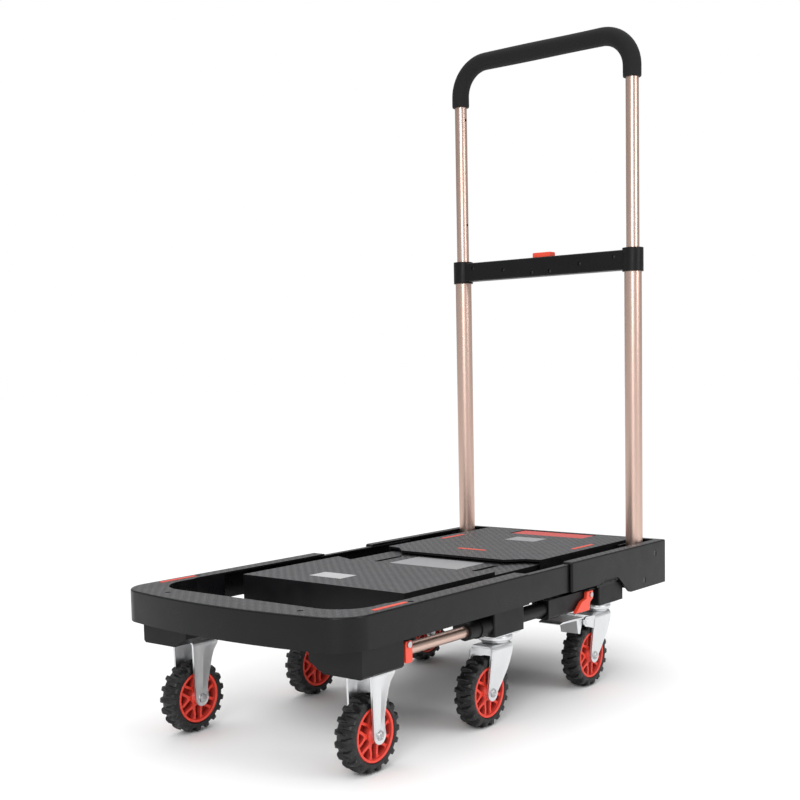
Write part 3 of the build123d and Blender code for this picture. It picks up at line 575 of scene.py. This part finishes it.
def flat_plate(name, outlines, thickness, bevel, at):
    """Plate in the XZ plane, centred on at: first outline is its edge, the others are holes."""
    curve = bpy.data.curves.new(name, "CURVE")
    curve.dimensions = "2D"
    curve.fill_mode = "BOTH"
    curve.extrude = thickness / 2 - bevel
    curve.bevel_depth = bevel
    curve.bevel_resolution = 1
    curve.offset = -bevel
    for outline in outlines:
        spline = curve.splines.new("POLY")
        spline.points.add(len(outline) - 1)
        for point, (u, v) in zip(spline.points, outline):
            point.co = (u, v, 0, 1)
        spline.use_cyclic_u = True
    shape = bpy.data.objects.new(name, curve)
    bpy.context.scene.collection.objects.link(shape)
    mesh = bpy.data.meshes.new_from_object(shape)
    bpy.data.objects.remove(shape)
    plate_object = bpy.data.objects.new(name, mesh)
    bpy.context.scene.collection.objects.link(plate_object)
    mesh.transform(Matrix.Translation(at) @ Matrix.Rotation(math.radians(90), 4, "X"))
    work = bmesh.new()
    work.from_mesh(mesh)
    bmesh.ops.remove_doubles(work, verts=work.verts, dist=1e-6)
    bmesh.ops.recalc_face_normals(work, faces=work.faces)
    work.to_mesh(mesh)
    work.free()
    return plate_object


def circle_points(radius, steps):
    """Points round a circle."""
    turns = [2 * math.pi * i / steps for i in range(steps)]
    return [(radius * math.cos(turn), radius * math.sin(turn)) for turn in turns]


SPOKES = 6
SPOKE_SPREAD = math.radians(18)
SPOKE_WIDTH = 3.9 * MM
BOSS_RADIUS = 10.5 * MM
WEB_HALF = 1.5 * MM
WEB_BORE = 6 * MM
PETAL_DEPTH = 21.0 * MM
PETAL_WINDOW_START = 18.5 * MM


def rib_angle(spoke, bend, radius, rim_in):
    """Where the middle of a rib stands at a radius; two ribs make one petal."""
    t = max(0.0, (radius - BOSS_RADIUS) / (rim_in - BOSS_RADIUS))
    return math.radians(360 / SPOKES) * spoke + bend * SPOKE_SPREAD * smoothstep(-0.15, 0.85, t)


def window(spoke_a, bend_a, spoke_b, bend_b, start, rim_in):
    """Opening between two ribs, from a start radius out to the rim, with rounded corners."""
    rows = [start + (rim_in - start) * i / 8 for i in range(9)]
    low, high = [], []
    for index, radius in enumerate(rows):
        corner = 0.9 * MM if index in (0, 8) else 0.0
        gap = (SPOKE_WIDTH / 2 + corner) / radius
        low.append((radius, rib_angle(spoke_a, bend_a, radius, rim_in) + gap))
        high.append((radius, rib_angle(spoke_b, bend_b, radius, rim_in) - gap))
    outline = low + [(rim_in + 0.5 * MM, low[-1][1] + (high[-1][1] - low[-1][1]) * i / 6)
                     for i in range(1, 6)] + high[::-1]
    return [(r * math.cos(a), r * math.sin(a)) for r, a in outline]


def hub_mesh(at):
    """Spoked wheel centre: rim, thin web, boss, and six petals of curved ribs."""
    rim_in = HUB_RADIUS - 3.0 * MM
    face = TYRE_HALF - 1.6 * MM
    rim = [(-face, rim_in), (-face + 1.0 * MM, rim_in - 0.8 * MM),
           (face - 1.0 * MM, rim_in - 0.8 * MM), (face, rim_in), (face, HUB_RADIUS - 0.6 * MM),
           (face - 0.6 * MM, HUB_RADIUS), (-face + 0.6 * MM, HUB_RADIUS),
           (-face, HUB_RADIUS - 0.6 * MM)]
    pieces = [lathe("rim", rim, at, steps=72, closed=True)]
    web = [(-WEB_HALF, WEB_BORE), (-WEB_HALF, rim_in + 0.8 * MM), (WEB_HALF, rim_in + 0.8 * MM),
           (WEB_HALF, WEB_BORE)]
    pieces.append(lathe("web", web, at, steps=72, closed=True))
    boss_end = 14.6 * MM
    bore = 4.1 * MM
    boss = [(-boss_end, bore), (-boss_end, 7.6 * MM), (-boss_end + 1 * MM, 8.6 * MM),
            (-11.4 * MM, 9.6 * MM), (-10.6 * MM, BOSS_RADIUS)]
    boss += [(-a, r) for a, r in reversed(boss)]
    pieces.append(lathe("boss", boss, at, steps=48, closed=True))
    outlines = [circle_points(rim_in + 0.9 * MM, 96), circle_points(BOSS_RADIUS - 1.5 * MM, 48)]
    reach = rim_in - 1.4 * MM
    for spoke in range(SPOKES):
        outlines.append(window(spoke, -1, spoke, 1, PETAL_WINDOW_START, reach))
        outlines.append(window(spoke, 1, spoke + 1, -1, BOSS_RADIUS + 1.6 * MM, reach))
    pieces.append(flat_plate("petals", outlines, PETAL_DEPTH, 0.35 * MM, at))
    hub = joined("hub", pieces)
    return sharpen(hub, 40.0)


def build_wheels():
    """Six wheels from one tyre and one hub; the right-hand ones are mirrored."""
    origin = Vector((0, 0, 0))
    tyre = tyre_mesh(origin)
    hub = hub_mesh(origin)
    for place, at in WHEEL_AT.items():
        end, hand = place.split("_")
        mirrored = hand == "right"
        body = f"{end}_wheel_{hand}"
        rubber = copy_moved(tyre, f"treaded_tyre_{place}", at, mirrored)
        place_piece(rubber, RUBBER, body, "tyre_rubber", f"tyre_{place}")
        spokes = copy_moved(hub, f"spoked_hub_{place}", at, mirrored)
        place_piece(spokes, HUB_RED, body, "hub_plastic", f"hub_{place}")
        # the web faces get the darker red as painted shade in the recess between the petals
        spokes.data.materials.append(HUB_PAINTED_SHADE)
        for face in spokes.data.polygons:
            face.material_index = 1 if abs(face.center.y - at.y) < WEB_HALF + 0.1 * MM else 0
    bpy.data.objects.remove(tyre)
    bpy.data.objects.remove(hub)


# =====================================================================================
# Casters: forks, bearings, axles and brake pedals
# =====================================================================================
PLATE = 3.0 * MM
CREASE_ANGLE = 7.0
AXLE_END = 11.5 * MM
FOOT_ROWS = 7
SHOULDER_BEND = 5.0 * MM
SPACER_START = 14.8 * MM
LEG_END = 8 * MM     # how far below the fork's top its legs start to bend inwards
FRONT_GAP = 18.0 * MM
SWIVEL_GAP = 16.5 * MM
FORK_REAR = 17 * MM     # rear edge, crease and front edge of a swivel fork, from its kingpin
FORK_CREASE = 16 * MM
FORK_FRONT = 35 * MM
BRAKE_PIVOT_AHEAD = 58 * MM
BRAKE_PIVOT_HEIGHT = 107 * MM


def leg_rows(upper_rows, axle_x, axle_z):
    """Rows of a leg from its rounded foot up: (height, rear edge, crease, front edge)."""
    rows = []
    for i in range(FOOT_ROWS):
        turn = math.radians(-88 + 88 * i / (FOOT_ROWS - 1))
        half = AXLE_END * math.cos(turn)
        rows.append((axle_z + AXLE_END * math.sin(turn), axle_x - half, axle_x, axle_x + half))
    return rows + upper_rows


def pressed_fork(name, side, gap, top, rows, top_row, rear_dip):
    """One bent sheet: left leg, rounded shoulder, bridge, shoulder and right leg."""
    middle = gap + PLATE / 2
    bend = SHOULDER_BEND
    sections = []
    for z, rear, crease, front in rows:
        sections.append((middle, z, rear, crease, front))
    rear, crease, front = top_row
    ridge = top - PLATE / 2
    for i in range(5):
        turn = math.radians(90) * i / 4
        sections.append((middle - bend * (1 - math.cos(turn)), ridge - bend * (1 - math.sin(turn)),
                         rear, crease, front))
    sections += [(0.0, ridge, rear, crease, front)]
    sections += [(-section[0],) + section[1:] for section in reversed(sections[:-1])]
    foot_top = rows[FOOT_ROWS - 1][0]
    vertices = []
    columns = 5
    for across, z, rear, crease, front in sections:
        # the rear edge dips inwards on the legs, and not at the shoulders and feet
        on_leg = 1 - smoothstep(ridge - 22 * MM, ridge - 6 * MM, z)
        on_leg *= smoothstep(foot_top, foot_top + 16 * MM, z)
        sign = 1 if across > 0 else -1
        for x, dip in ((rear, 1.0), ((rear + crease) / 2, 0.5), (crease, 0.0),
                       ((crease + front) / 2, 0.0), (front, 0.0)):
            vertices.append(Vector((x, side + across - sign * dip * rear_dip * on_leg, z)))
    fork = new_object(name, vertices, grid_faces(len(sections), columns))
    solid = fork.modifiers.new("thickness", "SOLIDIFY")
    solid.thickness = PLATE
    solid.offset = 0.0
    apply_modifiers(fork)
    soften(fork, 0.6 * MM, 2, 40.0)
    return sharpen(fork, CREASE_ANGLE)


def swivel_rows(kingpin, axle, top):
    """Leg of a swivel fork: straight front edge, curved rear edge that sweeps back to the axle."""
    axle_z = TYRE_RADIUS
    rows = []
    for i in range(1, 8):
        t = i / 7
        z = axle_z + (top - LEG_END - axle_z) * t
        front = axle + AXLE_END + (kingpin + FORK_FRONT - axle - AXLE_END) * t
        rear = axle - AXLE_END + (kingpin - FORK_REAR - axle + AXLE_END) * (1 - (1 - t) ** 1.7)
        rows.append((z, rear, front - 0.36 * (front - rear), front))
    return leg_rows(rows, axle, axle_z)


def fixed_rows(axle, top):
    """Leg of a fixed front fork: nearly upright front edge and a slanted rear edge."""
    axle_z = TYRE_RADIUS
    rows = []
    for i in range(1, 8):
        t = i / 7
        z = axle_z + (top - LEG_END - axle_z) * t
        front = axle + (11.6 + 2.2 * t) * MM
        rear = axle - (11.6 + 20.0 * t) * MM
        rows.append((z, rear, axle - 5.0 * t * MM, front))
    return leg_rows(rows, axle, axle_z)


def hex_head(name, at, outward, radius, height):
    """Hexagon head with a chamfered top, looking along y."""
    turns = [math.radians(60 * i + 15) for i in range(6)]
    outline = [(radius * math.cos(turn), radius * math.sin(turn)) for turn in turns]

    def put(u, v, w):
        return Vector(at) + Vector((u, outward * w, v))

    return soften(extruded(name, outline, put, height, smooth=False), 0.5 * MM, 2, 30.0)


def axle_bolt(name, at, gap):
    """Axle with a domed head and washer outside, a nut inside, and zinc spacers at the hub."""
    outer = gap + PLATE
    sign = 1 if at.y > 0 else -1
    reach = outer + 1.2 * MM
    pieces = [lathe("pin", [(-outer - 3.2 * MM, 3.2 * MM), (-outer - 3.4 * MM, 3.9 * MM),
                            (outer, 3.9 * MM)], at, steps=32)]
    for end in (-1, 1):
        washer = [(end * outer, 4.2 * MM), (end * outer, 6.6 * MM), (end * reach, 6.2 * MM),
                  (end * reach, 4.2 * MM)]
        pieces.append(lathe("washer", washer, at, steps=40, closed=True))
        inner = [(end * SPACER_START, 4.3 * MM), (end * SPACER_START, 7.6 * MM),
                 (end * (gap - 0.1 * MM), 7.6 * MM), (end * (gap - 0.1 * MM), 4.3 * MM)]
        pieces.append(lathe("spacer", inner, at, steps=40, closed=True))
    head = [(sign * outer, 0.5 * MM), (sign * outer, 5.2 * MM),
            (sign * (outer + 1.6 * MM), 5.0 * MM),
            (sign * (outer + 2.7 * MM), 4.4 * MM), (sign * (outer + 3.3 * MM), 3.2 * MM),
            (sign * (outer + 3.3 * MM), 2.6 * MM), (sign * (outer + 1.9 * MM), 2.4 * MM),
            (sign * (outer + 1.9 * MM), 0.3 * MM)]
    pieces.append(lathe("head", head, at, steps=40))
    pieces.append(hex_head("nut", at + Vector((0, -sign * reach, 0)), -sign, 6.4 * MM, 2.2 * MM))
    return sharpen(joined(name, pieces), 38.0)


BEARING_HEIGHT = 26.0 * MM


def bearing(name, x, y, top):
    """Top plate with four rivets, swivel cup with a rolled rim, neck and riveted kingpin."""
    low = top - BEARING_HEIGHT
    profile = [(low, 2 * MM), (low, 8.2 * MM), (low + 1.2 * MM, 9 * MM), (low + 4.2 * MM, 9 * MM),
               (low + 4.2 * MM, 6 * MM), (low + 10.0 * MM, 6 * MM), (low + 10.0 * MM, 19 * MM),
               (low + 11.5 * MM, 20 * MM), (low + 13.2 * MM, 20 * MM), (low + 13.8 * MM, 23.5 * MM),
               (low + 14.6 * MM, 24.7 * MM), (low + 16.0 * MM, 25.0 * MM),
               (low + 18.6 * MM, 25.0 * MM), (low + 20.6 * MM, 24.2 * MM),
               (low + 21.6 * MM, 22.4 * MM), (low + 23.2 * MM, 22.0 * MM),
               (low + 23.2 * MM, 2 * MM)]
    pieces = [lathe("cup", profile, (x, y, 0), axis="Z", steps=64)]
    outline = []
    for corner_x, corner_y, start in ((38, 24, 0), (-23, 24, 90), (-23, -24, 180), (38, -24, 270)):
        for i in range(5):
            turn = math.radians(start + 90 * i / 4)
            outline.append(((corner_x + 4 * math.cos(turn)) * MM,
                            (corner_y + 4 * math.sin(turn)) * MM))

    def put(u, v, w):
        return Vector((x + u, y + v, top - PLATE + w))

    pieces.append(soften(extruded("plate", outline, put, PLATE), 0.4 * MM, 1))
    for rivet_x, rivet_y in ((34, 22), (34, -22), (-21, 22), (-21, -22)):
        rivet = [(top - 4.8 * MM, 0.3 * MM), (top - 4.6 * MM, 2.2 * MM),
                 (top - 4.0 * MM, 3.4 * MM), (top - 2.6 * MM, 3.6 * MM)]
        place = (x + rivet_x * MM, y + rivet_y * MM, 0)
        pieces.append(lathe("rivet", rivet, place, axis="Z", steps=20))
    return sharpen(joined(name, pieces), 36.0)


def brake_pedal(name, pivot, side):
    """Foot lever: a ribbed tread on two cheeks, with a shoe that hangs behind the tyre."""
    x0, z0 = pivot
    tread = [(9, 6.4), (40, 8.2), (68, 9.0), (75, 7.2), (77.2, 7.6), (77.4, 9.2), (71, 11.0),
             (40, 10.6), (9, 8.8)]
    half = 19.3 * MM
    pieces = [soften(side_plate("tread", tread, x0, z0, side - half, 2 * half), 0.7 * MM)]
    body = [(-5, 2), (0, 6), (12, 8.2), (70, 8.9), (66, 6.4), (24, 5.0), (20, -16), (14, -17.6),
            (8, -3), (0, -5.4), (-4, -3)]
    half = 15.6 * MM
    pieces.append(soften(side_plate("cheeks", body, x0, z0, side - half, 2 * half), 0.8 * MM))
    rib = [(12, 8.0), (16, 9.9), (40, 11.4), (66, 11.9), (71, 11.0), (70, 9.0)]
    for offset in (-13.5, -8.1, -2.7, 2.7, 8.1, 13.5):
        start = side + (offset - 1.0) * MM
        pieces.append(soften(side_plate("rib", rib, x0, z0, start, 2.0 * MM), 0.5 * MM))
    tube_half = 15.8 * MM
    tube = [(-tube_half, 3.2 * MM), (-tube_half, 5.4 * MM), (tube_half, 5.4 * MM),
            (tube_half, 3.2 * MM)]
    pieces.append(lathe("tube", tube, (x0, side, z0), steps=36, closed=True))
    return sharpen(joined(name, pieces), 36.0)


def brake_ears(pivot, side, gap):
    """Ears in front of a rear fork and the pin that the brake pedal turns on."""
    x0, z0 = pivot
    pieces = []
    outline = [(-26, 6.5), (-2, 8.0)]
    turns = [math.radians(angle) for angle in range(80, -81, -20)]
    outline += [(8 * math.cos(turn), 8 * math.sin(turn)) for turn in turns]
    outline += [(-2, -8.0), (-22, -14)]
    for start in (gap, -gap - PLATE):
        ear = side_plate("ear", outline, x0, z0, side + start, PLATE)
        pieces.append(sharpen(soften(ear, 0.6 * MM), 30.0))
    outer = gap + PLATE
    pin = [(-outer - 1.6 * MM, 0.3 * MM), (-outer - 1.6 * MM, 3.6 * MM),
           (-outer - 0.6 * MM, 4.6 * MM), (-outer, 4.6 * MM), (-outer, 2.9 * MM),
           (outer, 2.9 * MM), (outer, 4.6 * MM), (outer + 0.6 * MM, 4.6 * MM),
           (outer + 1.6 * MM, 3.6 * MM), (outer + 1.6 * MM, 0.3 * MM)]
    pieces.append(sharpen(lathe("pin", pin, (x0, side, z0), steps=28), 30.0))
    return pieces


def build_casters():
    """Everything round the six wheels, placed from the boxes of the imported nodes."""
    block_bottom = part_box("front_caster_blocks")[0].z
    halves = []
    bolts = []
    for hand in HANDS:
        at = WHEEL_AT[f"front_{hand}"]
        top_row = (at.x - 32 * MM, at.x - 5 * MM, at.x + 14 * MM)
        fork = pressed_fork("fixed_fork", at.y, FRONT_GAP, block_bottom,
                            fixed_rows(at.x, block_bottom), top_row, 6.5 * MM)
        halves.append(fork)
        bolts.append(axle_bolt("front_bolt", at, FRONT_GAP))
    place_piece(joined("fixed_forks_front", halves), STEEL, "front_body", "zinc_steel",
                "front_forks")
    place_piece(joined("axle_bolts_front", bolts), BOLT, "front_body", "fastener_steel",
                "front_axles")
    for end in SWIVEL_ENDS:
        cups = []
        for hand in HANDS:
            at = WHEEL_AT[f"{end}_{hand}"]
            fork_low, fork_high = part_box(f"{end}_fork_{hand}")
            kingpin = fork_low.x + FORK_REAR
            top_row = (kingpin - FORK_REAR, kingpin + FORK_CREASE, kingpin + FORK_FRONT)
            fork = pressed_fork(f"pressed_fork_{end}_{hand}", at.y, SWIVEL_GAP, fork_high.z,
                                swivel_rows(kingpin, at.x, fork_high.z), top_row, 1.2 * MM)
            parts = [fork]
            if end == "rear":
                pivot = (kingpin + BRAKE_PIVOT_AHEAD, BRAKE_PIVOT_HEIGHT)
                parts += brake_ears(pivot, at.y, SWIVEL_GAP)
            body = f"{end}_swivel_{hand}"
            place_piece(joined(fork.name, parts), STEEL, body, "zinc_steel",
                        f"{end}_fork_{hand}")
            place_piece(axle_bolt(f"axle_bolt_{end}_{hand}", at, SWIVEL_GAP), BOLT, body,
                        "fastener_steel", f"{end}_axle_{hand}")
            if end == "rear":
                pedal = brake_pedal(f"ribbed_brake_pedal_{hand}", pivot, at.y)
                place_piece(pedal, STEEL, f"brake_{hand}", "zinc_steel", f"brake_pedal_{hand}")
            cups.append(bearing("bearing", kingpin, at.y, block_bottom))
        place_piece(joined(f"swivel_bearings_{end}", cups), STEEL, f"{end}_body", "zinc_steel",
                    f"{end}_swivel_plates")


# =====================================================================================
# Handle grip
# =====================================================================================
GRIP_CORNER = 54 * MM
GRIP_AROUND = 40


def build_grip():
    """Foam sleeve swept round the top of the handle, with rounded ends and a soft waist."""
    low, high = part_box("foam_grip")
    radius = (high.x - low.x) / 2
    track = high.y - radius
    top = high.z - radius
    corner = GRIP_CORNER
    x = (low.x + high.x) / 2
    route = []
    for i in range(5):
        route.append((track, low.z + (top - corner - low.z) * i / 5))
    for i in range(17):
        turn = math.radians(90) * i / 16
        route.append((track - corner * (1 - math.cos(turn)), top - corner * (1 - math.sin(turn))))
    bend_end = len(route)
    straight = track - corner
    for i in range(1, 20):
        route.append((straight - 2 * straight * i / 20, top))
    route += [(-y, z) for y, z in reversed(route[:bend_end])]
    length = 0.0
    travelled = [0.0]
    for before, after in zip(route, route[1:]):
        length += math.dist(before, after)
        travelled.append(length)
    rings = []
    for index, (y, z) in enumerate(route):
        before = route[max(0, index - 1)]
        after = route[min(len(route) - 1, index + 1)]
        along = Vector((0, after[0] - before[0], after[1] - before[1])).normalized()
        # a slight waviness along the sleeve
        swell = radius * (0.985 + 0.015 * math.sin(31.0 * travelled[index]))
        rings.append((Vector((x, y, z)), along, min(swell, radius)))
    first, last = rings[0], rings[-1]
    lip = [(0.0, 0.72), (0.0, 0.9), (0.6 * MM, 0.96), (1.8 * MM, 0.985)]
    ends = [(first[0] + first[1] * step, first[1], radius * scale) for step, scale in lip]
    tail = [(last[0] - last[1] * step, last[1], radius * scale) for step, scale in reversed(lip)]
    rings = ends + rings[1:-1] + tail
    vertices = []
    for middle, along, size in rings:
        outward = Vector((1, 0, 0))
        sideways = along.cross(outward)
        for i in range(GRIP_AROUND):
            turn = 2 * math.pi * i / GRIP_AROUND
            vertices.append(middle + size * (math.cos(turn) * outward + math.sin(turn) * sideways))
    faces = grid_faces(len(rings), GRIP_AROUND, close_columns=True)
    faces.append(list(range(GRIP_AROUND)))
    faces.append([(len(rings) - 1) * GRIP_AROUND + i for i in range(GRIP_AROUND)])
    grip = sharpen(new_object("foam_hand_grip", vertices, faces), 50.0)
    place_piece(grip, FOAM, "handle_upper", "foam", "foam_grip")


# =====================================================================================
# Camera, light and floor
# =====================================================================================
CAMERA_AT = (1.46896, 1.14941, 0.49239)


def add_camera():
    """Front left view from a little above the deck, slightly telephoto."""
    camera = bpy.data.cameras.new("camera")
    camera.sensor_width = 36.0
    camera.lens = 56.24
    camera.shift_y = 0.1
    camera.clip_end = 50.0
    heading = math.radians(218.73)
    tilt = math.radians(-4.807)
    roll = math.radians(-1.147)
    forward = Vector((math.cos(heading) * math.cos(tilt), math.sin(heading) * math.cos(tilt),
                      math.sin(tilt)))
    level_right = Vector((math.sin(heading), -math.cos(heading), 0))
    level_up = level_right.cross(forward)
    right = level_right * math.cos(roll) + level_up * math.sin(roll)
    up = level_up * math.cos(roll) - level_right * math.sin(roll)
    holder = bpy.data.objects.new("camera", camera)
    holder.matrix_world = Matrix((
        (right.x, up.x, -forward.x, CAMERA_AT[0]),
        (right.y, up.y, -forward.y, CAMERA_AT[1]),
        (right.z, up.z, -forward.z, CAMERA_AT[2]),
        (0, 0, 0, 1)))
    bpy.context.scene.collection.objects.link(holder)
    bpy.context.scene.camera = holder


def add_area(name, place, target, size, power):
    """Square soft box that points at a target."""
    light = bpy.data.lights.new(name, "AREA")
    light.shape = "RECTANGLE"
    light.size = size
    light.size_y = size
    light.energy = power
    holder = bpy.data.objects.new(name, light)
    holder.location = place
    direction = Vector(target) - Vector(place)
    holder.rotation_euler = direction.to_track_quat("-Z", "Y").to_euler()
    bpy.context.scene.collection.objects.link(holder)


FLOOR_HALF = 30


def build_studio():
    """Seamless pale floor, an even sky, a broad overhead sun and two soft boxes."""
    corners = [(-FLOOR_HALF, -FLOOR_HALF, 0), (FLOOR_HALF, -FLOOR_HALF, 0),
               (FLOOR_HALF, FLOOR_HALF, 0), (-FLOOR_HALF, FLOOR_HALF, 0)]
    floor = new_object("floor", corners, [[0, 1, 2, 3]])
    floor.data.materials.append(floor_material())
    world = bpy.data.worlds.new("studio")
    world.use_nodes = True
    tree = world.node_tree
    shade = tree.nodes["Background"]
    shade.inputs["Color"].default_value = (1, 1, 1, 1)
    shade.inputs["Strength"].default_value = 0.42
    backdrop = tree.nodes.new("ShaderNodeBackground")
    backdrop.inputs["Color"].default_value = (1, 1, 1, 1)
    backdrop.inputs["Strength"].default_value = 1.0
    path = tree.nodes.new("ShaderNodeLightPath")
    choice = tree.nodes.new("ShaderNodeMixShader")
    tree.links.new(path.outputs["Is Camera Ray"], choice.inputs[0])
    tree.links.new(shade.outputs[0], choice.inputs[1])
    tree.links.new(backdrop.outputs[0], choice.inputs[2])
    tree.links.new(choice.outputs[0], tree.nodes["World Output"].inputs["Surface"])
    bpy.context.scene.world = world
    overhead = bpy.data.lights.new("overhead", "SUN")
    overhead.energy = 2.35
    overhead.angle = math.radians(110)
    bpy.context.scene.collection.objects.link(bpy.data.objects.new("overhead", overhead))
    add_area("key", (2.3, 1.2, 1.3), (0, 0, 0.3), 0.9, 26)
    add_area("side", (-0.4, 2.6, 1.2), (0, 0, 0.4), 0.8, 14)
    bpy.context.scene.view_settings.view_transform = "Standard"


finish_cad_nodes()
build_wheels()
build_casters()
build_grip()
add_camera()
build_studio()
